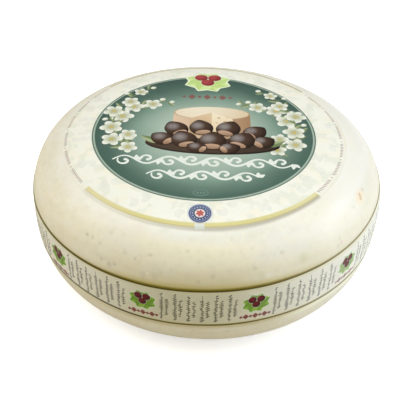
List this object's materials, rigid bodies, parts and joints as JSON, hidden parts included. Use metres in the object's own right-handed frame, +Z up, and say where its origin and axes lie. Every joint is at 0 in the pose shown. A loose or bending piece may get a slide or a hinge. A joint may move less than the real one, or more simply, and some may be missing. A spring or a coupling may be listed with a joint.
{
  "type": "goat gouda cheese wheel",
  "caption": "Whole round-shouldered wheel of goat gouda in a smooth ivory coating, with a round paper label on top and a paper band round its belly.",
  "frame": {"origin": "middle of the flat face that the wheel rests on", "axes": "+Z up through the middle of the wheel, -Y towards the printed front, +X to the right of someone who looks at that front"},
  "size_m": [0.2464, 0.2464, 0.1027],
  "materials": {
    "coating": "smooth ivory cheese coating, softly glossy and slightly see-through, with faint specks",
    "label_paper": "printed paper under a thin clear coat, satin",
    "band_paper": "printed paper under a thin clear coat, satin"
  },
  "bodies": {
    "root": {"cheese_wheel": "coating", "top_label": "label_paper", "side_band": "band_paper"}
  },
  "joints": []
}
